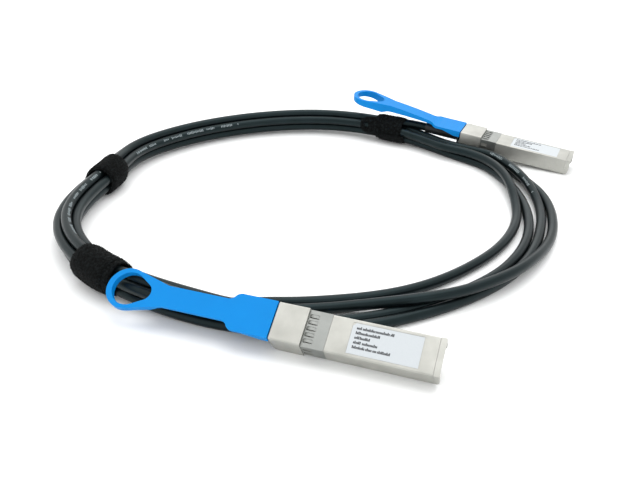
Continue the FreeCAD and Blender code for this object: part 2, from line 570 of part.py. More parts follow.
def pull_tab(end):
    """The moulded tab: a strap with side skirts at the head, a narrow neck and a finger ring. Its side
    profile is padded across, then trimmed to its plan on both sides."""
    body = new_body(end + "_pull_tab")
    tail = "-(ring_centre + ring_radius + 0.5)"
    ring_step = "-(ring_centre - ring_radius - 3)"
    top = "head_top"
    if end == "far":
        # bent up by riding over the tied bundle
        def lift(x):
            return f"(bend_radius - sqrt(bend_radius ^ 2 - (-({x}) - bend_start) ^ 2))"
        bend = [("-bend_start", top, "bend_radius", -1), (tail, f"{top} + {lift(tail)}"),
                (tail, f"{top} - ring_height + {lift(tail)}", "bend_radius", 1),
                (ring_step, f"{top} - ring_height + {lift(ring_step)}"),
                (f"{ring_step} + 3", f"{top} - tab_thick + {lift(ring_step + ' + 3')}", "bend_radius", 1),
                ("-bend_start", f"{top} - tab_thick")]
    else:
        bend = [(tail, top), (tail, f"{top} - ring_height"), (ring_step, f"{top} - ring_height"),
                (f"{ring_step} + 3", f"{top} - tab_thick")]
    add(body, "profile", "XZ", "0",
        [("-tab_front", top)] + bend + [("-21", f"{top} - tab_thick"), ("-14.5", f"{top} - 3.1"),
                                        ("-tab_front", f"{top} - 3.1")],
        "2 * ring_radius + 1", midplane=True)
    # plan: shoulder, S-curve to the neck, straight flare to the ring's circle
    flare = math.degrees(math.acos((value("ring_radius") - value("neck_half")) / (value("ring_centre") - 53)))
    touch_x = f"-ring_centre + ring_radius * cos({flare:.4f} deg)"
    touch_y = f"ring_radius * sin({flare:.4f} deg)"
    curve = "((neck_start - shoulder_end) ^ 2 / 4 + (head_width / 2 - neck_half) ^ 2 / 4)"
    bow = f"{curve} / (head_width / 2 - neck_half)"
    halfway = ("-(neck_start + shoulder_end) / 2", "(head_width / 2 + neck_half) / 2")
    trim = cut(body, "plan", "XY", "20", [
        ("-tab_front + 1", "head_width / 2"), ("-shoulder_end", "head_width / 2", bow, -1),
        (*halfway, bow, 1), ("-neck_start", "neck_half"), ("-52.5", "neck_half"),
        (touch_x, touch_y, "ring_radius", -1), ("-ring_centre - ring_radius", "0"),
        (tail, "0"), (tail, "ring_radius + 2"), ("-tab_front + 1", "ring_radius + 2")], "20")
    mirrored(body, [trim], "XZ")
    opening = new_sketch(body, "opening", "XY", "20")
    draw_egg(opening, "-67.4", "6.4", "-61.9", "3.6")
    feature(body, "Pocket", opening, "20")
    # hollow between the skirts, and the slot that the slide's tongue is moulded into
    cut(body, "skirt_gap", "XZ", "0", [
        ("-30", f"{top} - 8"), ("-yoke_back - 1.4", f"{top} - 8"), ("-yoke_back - 1.4", f"{top} - tab_thick"),
        ("-30", f"{top} - tab_thick")], "head_width - 2.2", midplane=True)
    arch = new_sketch(body, "arch", "YZ", "-15")
    draw_circle(arch, "0", "cable_axis", "boot_diameter / 2 + 0.4")
    feature(body, "Pocket", arch, "5", reverse=True)
    cut(body, "upright_slot", "XY", f"{top} - 0.8", box_outline(
        "-yoke_back", "-yoke_back + slide_thick", "-5.3", "5.3"), "4")
    cut(body, "tongue_slot", "XY", f"{top} - 0.8", box_outline(
        "-19", "-yoke_back", "-4", "4"), "0.5")
    return body


# ---------------------------------------------------------------- ties, coil and tails
def coil_point(angle, offset):
    """A place on the coil's oval, the offset outside its innermost strand, and the way the cable runs."""
    turn, tilt = math.radians(angle), math.radians(value("coil_turn"))
    long, short = value("coil_long") + offset, value("coil_short") + offset
    across, up = long * math.cos(turn), short * math.sin(turn)
    place = V(value("coil_x") + across * math.cos(tilt) - up * math.sin(tilt),
              value("coil_y") + across * math.sin(tilt) + up * math.cos(tilt), 0)
    run, climb = long * math.sin(turn), -short * math.cos(turn)
    along = V(run * math.cos(tilt) - climb * math.sin(tilt), run * math.sin(tilt) + climb * math.cos(tilt), 0)
    return place, along.normalize()


# name, angle round the oval, offset, outer radius, length, turn of the strap's end
TIES = [
    ("tie_front", 212.0, 7.5, 8.2, 20, 60),
    ("tie_left", 152.6, -3.8, 8.2, 20, 100),
    ("tie_back", 47.0, -2.0, 7.7, 17, 20),
]


def tie(name, angle, offset, outside, length, strap_end):
    """A hook-and-loop strap rolled round the bundle: inner turns, and an outer turn with its free end."""
    body = new_body(name)
    roll = new_sketch(body, "roll", "YZ", "0")
    draw_circle(roll, "0", "0", f"{outside} - strap_thick")
    feature(body, "Pad", roll, str(length), midplane=True)
    sketch = new_sketch(body, "outer_turn", "YZ", "0")
    start, end = math.radians(strap_end), math.radians(strap_end + 325)
    inside = outside - value("strap_thick") - 0.3
    for radius in (inside, outside):
        sketch.addGeometry(Part.ArcOfCircle(Part.Circle(V(), V(0, 0, 1), radius), start, end))
    for turn in (start, end):
        ray = V(math.cos(turn), math.sin(turn), 0)
        sketch.addGeometry(Part.LineSegment(ray * inside, ray * outside))
    for arc, line, arc_end, line_end in ((0, 2, 1, 1), (1, 2, 1, 2), (0, 3, 2, 1), (1, 3, 2, 2)):
        sketch.addConstraint(Sketcher.Constraint("Coincident", arc, arc_end, line, line_end))
    feature(body, "Pad", sketch, f"{length} - 0.6", midplane=True)
    bore = new_sketch(body, "bundle_bore", "YZ", "0")
    draw_circle(bore, "0", "0", "tie_bore")
    feature(body, "Pocket", bore, f"{length} + 2", midplane=True)
    place, along = coil_point(angle, offset)
    yaw = math.degrees(math.atan2(along.y, along.x))
    body.Placement = FreeCAD.Placement(V(place.x, place.y, outside), FreeCAD.Rotation(yaw, 0, 0))
    return body


# outer shape of the coil at places round the oval: angle, offset and height of the middle, half width
# and half height. The bundle is round at the ties and fans out flat on the right and at the front.
COIL_SECTIONS = [
    (212, 7.5, 8.2, 6, 6), (198, 6.5, 7.9, 6, 6), (183, 3.6, 7.6, 6, 6), (168, -0.5, 7.8, 6, 6),
    (152.6, -3.8, 8.2, 6, 6), (138, 1.0, 7.4, 6, 6), (120, 5.5, 6.8, 6.3, 6), (100, 6.0, 6.6, 6.4, 6),
    (75, 4.0, 7.0, 6.3, 6), (50, -2.0, 7.0, 6, 5.2), (40, -1.8, 4.4, 5.6, 3.4), (28, 1.0, 2.2, 6.2, 1.6),
    (14, 3.6, 2.0, 7.0, 1.4), (0, 7.0, 2.4, 9.2, 2.0), (-14, 8.7, 2.7, 11, 2.4), (-35, 8.0, 3.1, 11, 2.8),
    (-60, 7.6, 3.0, 10.8, 2.7), (-85, 7.6, 2.6, 11, 2.3), (-108, 7.2, 2.4, 10.2, 2.1),
    (-122, 6.8, 2.8, 8.6, 2.5), (-138, 7.2, 6.2, 6.8, 5),
]


def coil_section(angle):
    """Offset, height, half width and half height at any angle, eased between the listed places."""
    places = COIL_SECTIONS + [(COIL_SECTIONS[0][0] - 360, *COIL_SECTIONS[0][1:])]
    for before, after in zip(places, places[1:]):
        if before[0] >= angle >= after[0]:
            share = (before[0] - angle) / (before[0] - after[0])
            share = (1 - math.cos(math.pi * share)) / 2
            return [low + (high - low) * share for low, high in zip(before[1:], after[1:])]


def cable_coil():
    """The closed outer shape of the coiled cable, lofted through twelve-sided ovals across its run."""
    rings = []
    step, sides = 10, 12
    for number in range(360 // step):
        angle = COIL_SECTIONS[0][0] - number * step
        offset, height, wide, high = coil_section(angle)
        place, along = coil_point(angle, offset)
        sideways = along.cross(V(0, 0, 1))
        corners = []
        for side in range(sides + 1):
            turn = 2 * math.pi * side / sides
            corners.append(place + sideways * (wide * math.cos(turn)) + V(0, 0, height + high * math.sin(turn)))
        rings.append(Part.makePolygon(corners))
    item = doc.addObject("Part::Feature", "cable_coil")
    item.Shape = Part.makeLoft(rings, True, True, True)
    return item


def cable_tail(end):
    """The uncoiled stretch of cable from the head to its tie: straight runs joined by tangent arcs."""
    frame = plug_place(end)
    axis = value("cable_axis")
    if end == "near":
        route = [frame.multVec(V(-9.6, 0, axis)), frame.multVec(V(-44, 0, axis)), V(-86.4, -59.7, 9.6)]
    else:
        route = [frame.multVec(V(-9.6, 0, axis)), frame.multVec(V(-40, 0, axis)), V(13.5, 103.6, 11.2)]
    edges, here, radii = [], route[0], []
    for before, corner, after in zip(route, route[1:], route[2:]):
        back, ahead = (before - corner), (after - corner)
        short = min(back.Length, ahead.Length) * 0.45
        turn = math.pi - back.getAngle(ahead)
        back.normalize()
        ahead.normalize()
        radius = short / math.tan(turn / 2)
        radii.append(radius)
        start, finish = corner + back * short, corner + ahead * short
        inside = (back + ahead).normalize()
        middle = corner + inside * (radius / math.cos(turn / 2) - radius)
        edges.append(Part.LineSegment(here, start).toShape())
        edges.append(Part.Arc(start, middle, finish).toShape())
        here = finish
    edges.append(Part.LineSegment(here, route[-1]).toShape())
    wire = Part.Wire(edges)
    section = value("cable_diameter") / 2
    circle = Part.Wire([Part.makeCircle(section, route[0], route[1] - route[0])])
    item = doc.addObject("Part::Feature", end + "_cable_tail")
    item.Shape = wire.makePipeShell([circle], True, False)
    expected = math.pi * section ** 2 * wire.Length
    print(f"{item.Name}: length {wire.Length:.1f}, radii {[round(r, 1) for r in radii]}, "
          f"volume {item.Shape.Volume:.1f} of {expected:.1f}")
    return item


# ---------------------------------------------------------------- build, check and write
PLUG_PIECES = [upper_housing, lower_housing, emi_collar, label, paddle_card, contact_pads, core_pairs,
               crimp_ferrule, cable_boot, release_slide, return_springs, housing_screws, pull_tab]
nodes = []
for end in ("near", "far"):
    for piece in PLUG_PIECES:
        node = piece(end)
        node.Placement = plug_place(end)
        nodes.append(node)
for row in TIES:
    nodes.append(tie(*row))
nodes.append(cable_coil())
nodes.append(cable_tail("near"))
nodes.append(cable_tail("far"))
doc.recompute()

for item in doc.Objects:
    if "Invalid" in item.State or "Error" in item.State:
        raise RuntimeError(f"{item.Label} failed: {item.State}")
os.makedirs("parts", exist_ok=True)
for node in nodes:
    shape = node.Shape
    if shape.isNull() or not shape.isValid() or shape.Volume <= 0:
        raise RuntimeError(f"{node.Label} has no valid solid")
    shape.exportStep(f"parts/{node.Label}.step")
    print(f"{node.Label}: {len(shape.Solids)} solid(s), {shape.Volume:.2f} mm3, {shape.BoundBox}")
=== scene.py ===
import math
import random

import bpy
import numpy as np
from mathutils import Matrix, Vector


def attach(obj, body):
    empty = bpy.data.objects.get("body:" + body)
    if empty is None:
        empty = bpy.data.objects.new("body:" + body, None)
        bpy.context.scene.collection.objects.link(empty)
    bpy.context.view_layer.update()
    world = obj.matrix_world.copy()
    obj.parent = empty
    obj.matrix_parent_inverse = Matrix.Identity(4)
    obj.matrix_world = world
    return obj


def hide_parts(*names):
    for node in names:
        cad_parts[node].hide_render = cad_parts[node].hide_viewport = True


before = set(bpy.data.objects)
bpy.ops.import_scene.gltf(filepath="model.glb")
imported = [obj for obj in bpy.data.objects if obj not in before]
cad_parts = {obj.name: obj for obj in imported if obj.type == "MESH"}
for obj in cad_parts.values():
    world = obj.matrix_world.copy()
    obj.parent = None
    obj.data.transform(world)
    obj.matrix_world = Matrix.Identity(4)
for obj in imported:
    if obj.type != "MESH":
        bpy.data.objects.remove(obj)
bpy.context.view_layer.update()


# ---------------------------------------------------------------- studio
# The assembly lies on a white paper sweep under large soft lamps and an even white surround, so the shadows
# stay short and soft. The camera looks down at 30 degrees.
CAMERA_PLACE = (-0.00988, -0.29819, 0.16259)
CAMERA_PITCH = math.radians(29.94)
CAMERA_ROLL = math.radians(0.52)
CAMERA_LENS = 41.9
SURROUND = 1.12
SWEEP_HALF = 3.0
# name, place, target, size and power
LAMPS = [("lamp_above", (0.05, 0.15, 0.8), (0.02, 0.02, 0), 0.8, 3.6),
         ("lamp_back", (0.2, 1.0, 0.5), (0.02, 0.05, 0), 0.6, 0.9),
         ("lamp_left", (-0.8, 0.1, 0.5), (0, 0, 0), 0.5, 0.4),
         ("lamp_front", (0.35, -0.8, 0.6), (0, 0, 0), 0.5, 0.6)]


def colour(hex_code):
    """An sRGB hex colour as linear red, green, blue and alpha."""
    parts = [int(hex_code[i:i + 2], 16) / 255 for i in (1, 3, 5)]
    return tuple(p / 12.92 if p <= 0.04045 else ((p + 0.055) / 1.055) ** 2.4 for p in parts) + (1.0,)


def node(tree, kind, links=None, **settings):
    """Adds a node, sets its own settings, and fills each named or numbered input with a value or a link."""
    item = tree.nodes.new(kind)
    for name, value in settings.items():
        setattr(item, name, value)
    for place, value in (links or {}).items():
        socket = item.inputs[place]
        if isinstance(value, bpy.types.NodeSocket):
            tree.links.new(value, socket)
        else:
            socket.default_value = value
    return item


def new_finish(name):
    """An empty material with its own shader, which the section that needs it fills."""
    finish = bpy.data.materials.new(name)
    finish.use_nodes = True
    finish.node_tree.nodes.clear()
    shader = finish.node_tree.nodes.new("ShaderNodeBsdfPrincipled")
    out = finish.node_tree.nodes.new("ShaderNodeOutputMaterial")
    finish.node_tree.links.new(shader.outputs["BSDF"], out.inputs["Surface"])
    return finish, finish.node_tree, shader


def speckle(tree, where, scale, detail):
    """Noise in the piece's own metres, so its grain is the same size on every piece."""
    return node(tree, "ShaderNodeTexNoise",
                {"Vector": where.outputs["Object"], "Scale": scale, "Detail": detail})


def two_tone(tree, shader, where, scale, detail, dark, pale, spread=(0, 1)):
    """Clouds the base colour between two hex colours. Returns the noise, for gloss and bump to share."""
    cloud = speckle(tree, where, scale, detail)
    tones = node(tree, "ShaderNodeValToRGB", {"Fac": cloud.outputs["Fac"]})
    for stop, place, shade in zip(tones.color_ramp.elements, spread, (dark, pale)):
        stop.position, stop.color = place, colour(shade)
    tree.links.new(tones.outputs["Color"], shader.inputs["Base Color"])
    return cloud


def uneven_gloss(tree, shader, noise, low, high):
    """Lets the roughness run between two values with the noise."""
    gloss = node(tree, "ShaderNodeMapRange", {"Value": noise.outputs["Fac"], "To Min": low, "To Max": high})
    tree.links.new(gloss.outputs["Result"], shader.inputs["Roughness"])


def bumped(tree, shader, noise, strength, distance):
    """Raises the surface with the noise, by a distance in metres."""
    lift = node(tree, "ShaderNodeBump",
                {"Height": noise.outputs["Fac"], "Strength": strength, "Distance": distance})
    tree.links.new(lift.outputs["Normal"], shader.inputs["Normal"])


def aim(item, place, target):
    """Puts a lamp in its place, turned towards its target."""
    item.location = place
    item.rotation_euler = (Vector(target) - Vector(place)).to_track_quat("-Z", "Y").to_euler()
    bpy.context.scene.collection.objects.link(item)


camera = bpy.data.objects.new("camera", bpy.data.cameras.new("camera"))
bpy.context.scene.collection.objects.link(camera)
ahead = Vector((0, math.cos(CAMERA_PITCH), -math.sin(CAMERA_PITCH)))
upward = Vector((0, math.sin(CAMERA_PITCH), math.cos(CAMERA_PITCH)))
sideways = Vector((1, 0, 0))
right = math.cos(CAMERA_ROLL) * sideways + math.sin(CAMERA_ROLL) * upward
over = -math.sin(CAMERA_ROLL) * sideways + math.cos(CAMERA_ROLL) * upward
camera.matrix_world = Matrix.Translation(CAMERA_PLACE) @ Matrix((right, over, -ahead)).transposed().to_4x4()
camera.data.lens = CAMERA_LENS
camera.data.clip_start = 0.01
bpy.context.scene.camera = camera
# the standard transform keeps the blue and the white as strong as they are
bpy.context.scene.view_settings.view_transform = "Standard"

for lamp_name, lamp_place, lamp_target, lamp_size, lamp_power in LAMPS:
    lamp = bpy.data.lights.new(lamp_name, "AREA")
    lamp.size = lamp_size
    lamp.energy = lamp_power
    aim(bpy.data.objects.new(lamp_name, lamp), lamp_place, lamp_target)

world = bpy.data.worlds.new("studio_air")
bpy.context.scene.world = world
world.use_nodes = True
world.node_tree.nodes["Background"].inputs["Color"].default_value = (1, 1, 1, 1)
world.node_tree.nodes["Background"].inputs["Strength"].default_value = SURROUND

sweep_finish, tree, shader = new_finish("white_sweep_paper")
shader.inputs["Base Color"].default_value = colour("#FBFCFC")
shader.inputs["Roughness"].default_value = 0.7
shader.inputs["Specular IOR Level"].default_value = 0.2
grain = node(tree, "ShaderNodeTexNoise", {"Scale": 900.0, "Detail": 2.0})
bumped(tree, shader, grain, 0.02, 0.0002)
sweep_mesh = bpy.data.meshes.new("sweep")
corners = [(x * SWEEP_HALF, y * SWEEP_HALF, 0) for x, y in ((-1, -1), (1, -1), (1, 1), (-1, 1))]
sweep_mesh.from_pydata(corners, [], [(0, 1, 2, 3)])
sweep_mesh.materials.append(sweep_finish)
sweep = bpy.data.objects.new("sweep", sweep_mesh)
bpy.context.scene.collection.objects.link(sweep)


# ---------------------------------------------------------------- cable
# One length of shielded twin cable in a black extruded jacket runs from head to head. It leaves the near
# head, goes nearly four and a half times round in a loose coil that three straps gather, and ends in the
# far head.

# all lengths are in millimetres and all angles round the coil in degrees
# place of each plug's own frame, and its yaw, pitch and roll
PLUGS = {"near": ((-13.51, -90.24, 3.82), (-18.46, 0.42, 31.73)),
         "far": ((77.24, 79.33, 3.79), (-24.89, 4.6, 2.17))}
CABLE_AXIS = 4.4
CABLE_ACROSS = 4.4
# how far along and beside each plug's own axis its tail runs, at the height of CABLE_AXIS
NEAR_TAIL = ((-9.6, 0), (-27, 0), (-44, 0), (-58, 0.4))
FAR_TAIL = ((-40, 0), (-25, 0), (-9.6, 0))
COIL_MIDDLE = (-18.48, 19.01)
COIL_LONG, COIL_SHORT = 102.2, 87.5
COIL_TILT = math.radians(16)
COIL_STEP = 7.5
COIL_START, COIL_END = 212, 47
# middle of the gathered bundle: angle round the coil, offset outside the reference oval, height
BUNDLE = [(212, 7.5, 8.2), (186, 5.0, 7.6), (152.6, -3.8, 8.2), (130, 4.5, 7.2), (100, 6.0, 6.6),
          (75, 5.0, 7.0), (47, -2.0, 7.7)]
LANE_RADIUS = 3.75
LANE_START, LANE_TURN = 162, 72
LANES = (3, 2, 0, 1, 4)
# strands that come too near are pushed apart: number of passes, share of the gap, force and clearance
SETTLE_PASSES, SETTLE_SHARE, SETTLE_PUSH, SETTLE_ROOM = 300, 0.25, 1.6, 0.1
FLOOR_ROOM, FLOOR_SHARE = 0.03, 0.5
# where each turn runs between the back strap and the front strap, loose on the floor or over another turn,
# as angle, offset and height
LOOSE = [
    [(40, 0.4, 7.1), (34, -1.5, 6.7), (28, -2.8, 6.6), (25, -3.1, 6.6), (22, -2.4, 6.6),
     (19, -0.5, 6.5), (16.3, 1.9, 6.4), (13.9, 4.2, 6.3), (11.5, 6.2, 6.2), (8, 7.3, 6.1),
     (1, 8.0, 6.0), (-3, 8.9, 5.6), (-9.5, 10.3, 4.6), (-16, 11.1, 3.0), (-21.5, 11.5, 2.25),
     (-27, 11.8, 2.25), (-35, 12.4, 2.25), (-41, 13.4, 2.25), (-46, 14.4, 2.25), (-52, 15.3, 2.25),
     (-63, 16.2, 2.25), (-79, 15.9, 2.25), (-88, 16.0, 2.25), (-95, 15.9, 2.25), (-107, 14.8, 2.25),
     (-115, 13.7, 2.25), (-128, 10.8, 2.5), (-138, 9.8, 4.0)],
    [(36, 1.6, 2.6), (28, 1.0, 2.25), (25, 0.6, 2.25), (22, 0.3, 2.25), (19, 0.6, 2.25),
     (16.3, 2.6, 2.25), (13.9, 4.7, 2.25), (11.5, 6.5, 2.25), (8, 8.4, 2.25), (4, 9.6, 2.25),
     (1, 10.2, 2.25), (-3.7, 11.4, 2.25), (-8, 12.6, 2.25), (-12.7, 14.2, 2.25), (-18.3, 15.6, 2.25),
     (-24, 16.4, 2.25), (-32.5, 17.4, 2.25), (-37.4, 17.8, 2.25), (-44, 18, 3.5), (-50, 18.3, 5.2),
     (-56, 18.9, 6.4), (-61, 18.5, 6.7), (-65, 17.6, 6.9), (-72, 16.1, 6.9), (-76, 14.5, 6.9),
     (-82, 11.6, 6.8), (-87, 7.4, 4.8), (-92, 4.0, 2.8), (-97, 2.5, 2.25), (-108, 2.4, 2.25),
     (-118, 2.4, 4.2), (-128, 2.8, 7.2), (-138, 3.6, 8.8)],
    [(36, -5.9, 7.0), (28, -7.1, 6.6), (25, -7.4, 6.6), (22, -6.8, 6.5), (19, -4.9, 6.4),
     (16, -2.7, 6.4), (13, -1.4, 6.3), (8, 0.2, 6.2), (4, 0.8, 6.1), (-2, 0.8, 6.0), (-8, 0.6, 5.6),
     (-14, 0.4, 4.8), (-20, 0.6, 3.3), (-25, 1.1, 2.4), (-29, 1.1, 2.25), (-41, 1.3, 2.25),
     (-52, 1.0, 2.25), (-60, 0.6, 2.25), (-75, 0.6, 2.25), (-83, -0.1, 2.25), (-90, -1.2, 2.25),
     (-96, -2, 2.25), (-108, -2.3, 2.25), (-118, 0.2, 2.25), (-128, 3.0, 2.7), (-138, 4.8, 4.2)],
    [(36, -3.4, 2.8), (28, -3.6, 2.25), (25, -4.0, 2.25), (22, -4.2, 2.25), (19, -3.8, 2.25),
     (16, -1.9, 2.25), (13, -0.4, 2.25), (9, 0.8, 2.25), (4, 1.3, 2.25), (-2, 1.8, 2.25),
     (-8, 2.2, 2.25), (-14, 2.9, 2.25), (-20, 4.0, 2.25), (-25, 5.2, 2.25), (-29, 6.1, 2.25),
     (-34, 7.4, 2.25), (-39, 8.8, 2.25), (-49, 10.4, 2.25), (-56, 11.4, 2.25), (-75, 11.5, 2.25),
     (-90, 11.7, 2.25), (-97, 11.3, 2.25), (-105, 10.2, 2.8), (-115, 8.6, 5.0), (-125, 7.4, 8.2),
     (-136, 7.4, 10.8)],
]


def plug_frame(end):
    """Turns a place in a plug's own millimetres into the scene's: x to the tip, z out of the label side."""
    place, (yaw, pitch, roll) = PLUGS[end]
    turn = (Matrix.Rotation(math.radians(yaw), 4, "Z") @ Matrix.Rotation(math.radians(pitch), 4, "Y")
            @ Matrix.Rotation(math.radians(roll), 4, "X"))
    return Matrix.Translation(place) @ turn


def oval_point(angle, offset, height):
    """A place beside the coil's reference oval, in millimetres."""
    turn = math.radians(angle)
    along = (COIL_LONG + offset) * math.cos(turn)
    across = (COIL_SHORT + offset) * math.sin(turn)
    return Vector((COIL_MIDDLE[0] + along * math.cos(COIL_TILT) - across * math.sin(COIL_TILT),
                   COIL_MIDDLE[1] + along * math.sin(COIL_TILT) + across * math.cos(COIL_TILT), height))


def eased(places, angle):
    """Offset and height at an angle, on a smooth line through the listed places, with no overshoot."""
    x = np.array([p[0] for p in places], float)
    y = np.array([p[1:] for p in places], float)
    wide = np.diff(x)
    slope = np.diff(y, axis=0) / wide[:, None]
    lean = np.zeros_like(y)
    for i in range(1, len(x) - 1):
        first, second = 2 * wide[i] + wide[i - 1], wide[i] + 2 * wide[i - 1]
        for c in range(y.shape[1]):
            if slope[i - 1, c] * slope[i, c] > 0:
                lean[i, c] = (first + second) / (first / slope[i - 1, c] + second / slope[i, c])
    lean[0], lean[-1] = slope[0], slope[-1]
    i = min(max(int(np.sum(x >= angle)) - 1, 0), len(x) - 2)
    s = (angle - x[i]) / wide[i]
    return ((1 + 2 * s) * (1 - s) ** 2 * y[i] + s * (1 - s) ** 2 * wide[i] * lean[i]
            + s * s * (3 - 2 * s) * y[i + 1] + s * s * (s - 1) * wide[i] * lean[i + 1])


def lane(number, angle):
    """Offset and height of one turn inside the gathered bundle, where five strands lie in a ring."""
    way = math.radians(LANE_START + LANE_TURN * LANES[number])
    middle = eased(BUNDLE, angle)
    return middle[0] + LANE_RADIUS * math.cos(way), middle[1] + LANE_RADIUS * math.sin(way)


def coil_rows():
    """Angle, offset and height of the coil's control points, with strands that come too near pushed apart."""
    per_turn = round(360 / COIL_STEP)
    last = (len(LANES) - 1) * per_turn + round((COIL_START - COIL_END) / COIL_STEP)
    routes = []
    for number, loose in enumerate(LOOSE):
        before = [(a, *lane(number, a)) for a in (COIL_END + COIL_STEP, COIL_END)]
        after = [(a - 360, *lane(number + 1, a)) for a in (COIL_START, COIL_START - COIL_STEP)]
        routes.append(before + loose + after)
    rows = []
    for point in range(last + 1):
        number, gone = divmod(point * COIL_STEP, 360)
        angle = COIL_START - gone
        place = lane(int(number), angle) if angle >= COIL_END else eased(routes[int(number)], angle)
        rows.append((angle, *place))
    rows = np.array(rows)
    apart = CABLE_ACROSS + SETTLE_ROOM
    for _ in range(SETTLE_PASSES):
        push = np.zeros_like(rows)
        for first in range(len(rows)):
            for second in range(first + per_turn, len(rows), per_turn):
                gap = rows[second, 1:] - rows[first, 1:]
                size = math.hypot(*gap)
                if size < apart:
                    shove = gap / size * (apart - size) * SETTLE_SHARE
                    push[second, 1:] += shove
                    push[first, 1:] -= shove
        push[:, 2] += np.maximum(CABLE_ACROSS / 2 + FLOOR_ROOM - rows[:, 2], 0) * FLOOR_SHARE
        push[1:-1] = (push[:-2] + 2 * push[1:-1] + push[2:]) / 4
        rows += push * SETTLE_PUSH
    return rows


near_frame, far_frame = plug_frame("near"), plug_frame("far")
near_route = [near_frame @ Vector((*p, CABLE_AXIS)) for p in NEAR_TAIL]
far_route = [far_frame @ Vector((*p, CABLE_AXIS)) for p in FAR_TAIL]
cable_route = near_route + [oval_point(*row) for row in coil_rows()] + far_route

cable_curve = bpy.data.curves.new("cable", "CURVE")
cable_curve.dimensions = "3D"
cable_curve.resolution_u = 8
spline = cable_curve.splines.new("NURBS")
spline.points.add(len(cable_route) - 1)
for point, place in zip(spline.points, cable_route):
    point.co = (*(place / 1000), 1)
spline.order_u = 3
spline.use_endpoint_u = True
cable = bpy.data.objects.new("cable", cable_curve)
bpy.context.scene.collection.objects.link(cable)
bpy.context.view_layer.update()
line_mesh = bpy.data.meshes.new_from_object(cable.evaluated_get(bpy.context.evaluated_depsgraph_get()))
cable_line = np.array([v.co for v in line_mesh.vertices])
bpy.data.meshes.remove(line_mesh)
cable_curve.bevel_depth = CABLE_ACROSS / 2000
cable_curve.bevel_resolution = 6
cable_curve.use_fill_caps = True

# extruded PVC: even charcoal with a faint mottle, and a soft, finely scuffed skin with a broad pale sheen
JACKET_DARK, JACKET_PALE = "#070B0C", "#0D1315"
jacket, tree, shader = new_finish("extruded_pvc_jacket")
where = node(tree, "ShaderNodeTexCoord")
two_tone(tree, shader, where, 140.0, 3.0, JACKET_DARK, JACKET_PALE, spread=(0.35, 0.7))
scuff = speckle(tree, where, 900.0, 4.0)
uneven_gloss(tree, shader, scuff, 0.26, 0.4)
bumped(tree, shader, scuff, 0.12, 0.00005)
shader.inputs["Specular IOR Level"].default_value = 0.27
shader.inputs["Specular Tint"].default_value = colour("#CFF4FA")
cable_curve.materials.append(jacket)
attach(cable, "cable")
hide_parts("cable_coil", "near_cable_tail", "far_cable_tail")


# ---------------------------------------------------------------- plug housings
# Each plug is a pair of zinc die castings, an upper cover and a lower tray, nickel plated and tumbled to a
# warm satin. The stamped collar, the release slide and the springs are bare steel, the screws zinc plated.
def metal_finish(name, pale, dark, low, high, metallic):
    """A bare or plated metal: broad clouds of colour about 8 mm across, and a fine grain of about 0.2 mm."""
    finish, tree, shader = new_finish(name)
    where = node(tree, "ShaderNodeTexCoord")
    two_tone(tree, shader, where, 120.0, 4.0, dark, pale, spread=(0.3, 0.7))
    grit = speckle(tree, where, 5200.0, 3.0)
    uneven_gloss(tree, shader, grit, low, high)
    bumped(tree, shader, grit, 0.18, 0.00004)
    shader.inputs["Metallic"].default_value = metallic
    return finish


def dress(names, finish):
    """Gives carried-over solids of both plugs their finish."""
    for end in PLUGS:
        for name in names:
            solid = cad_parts[f"{end}_{name}"]
            for place in solid.material_slots:
                place.material = finish
            if not solid.material_slots:
                solid.data.materials.append(finish)


dress(["upper_housing", "lower_housing"],
      metal_finish("satin_nickel_casting", "#B7B7B1", "#A5A59F", 0.34, 0.5, 0.7))
dress(["emi_collar"], metal_finish("stamped_steel_collar", "#989A97", "#878A87", 0.28, 0.42, 0.85))
dress(["release_slide", "return_springs", "crimp_ferrule"],
      metal_finish("spring_steel", "#B9BAB8", "#9C9E9C", 0.25, 0.4, 1.0))
dress(["housing_screws"], metal_finish("zinc_plated_screw", "#C6C8CA", "#A2A5A8", 0.22, 0.35, 1.0))


# ---------------------------------------------------------------- card edge, pads and wires
# Inside the mouth is the end of a glass-epoxy card in green solder mask, with hard-gold fingers on both
# faces. Behind it the cable's foil-wrapped pairs are soldered on, and a rubber sleeve grips the jacket at
# the head.
board, tree, shader = new_finish("green_solder_mask")
where = node(tree, "ShaderNodeTexCoord")
two_tone(tree, shader, where, 2600.0, 2.0, "#0C3A20", "#155A32")
shader.inputs["Roughness"].default_value = 0.3
dress(["paddle_card"], board)
dress(["contact_pads"], metal_finish("hard_gold_pads", "#F2CE74", "#E0B452", 0.16, 0.28, 1.0))
dress(["core_pairs"], metal_finish("aluminium_foil_wrap", "#D4D6D8", "#B4B6B8", 0.3, 0.5, 0.9))
sleeve, tree, shader = new_finish("moulded_rubber_sleeve")
where = node(tree, "ShaderNodeTexCoord")
pore = two_tone(tree, shader, where, 2200.0, 3.0, "#0E1011", "#1A1D1E")
bumped(tree, shader, pore, 0.25, 0.00006)
shader.inputs["Roughness"].default_value = 0.55
dress(["cable_boot"], sleeve)


# ---------------------------------------------------------------- pull tabs
# Each tab is one moulding in bright blue polypropylene: a shoulder clipped on the release slide, a thin
# flexible strap and a finger ring. The skin is smooth and slightly waxy, and lets a little light through.
tab_finish, tree, shader = new_finish("moulded_polypropylene")
where = node(tree, "ShaderNodeTexCoord")
two_tone(tree, shader, where, 70.0, 2.0, "#007AC4", "#0082CE")
peel = speckle(tree, where, 1500.0, 2.0)
uneven_gloss(tree, shader, peel, 0.42, 0.55)
bumped(tree, shader, peel, 0.08, 0.00005)
shader.inputs["Specular IOR Level"].default_value = 0.14
shader.inputs["Subsurface Weight"].default_value = 0.12
shader.inputs["Subsurface Radius"].default_value = (0.0004, 0.0008, 0.0016)
shader.inputs["Subsurface Scale"].default_value = 1.0
dress(["pull_tab"], tab_finish)


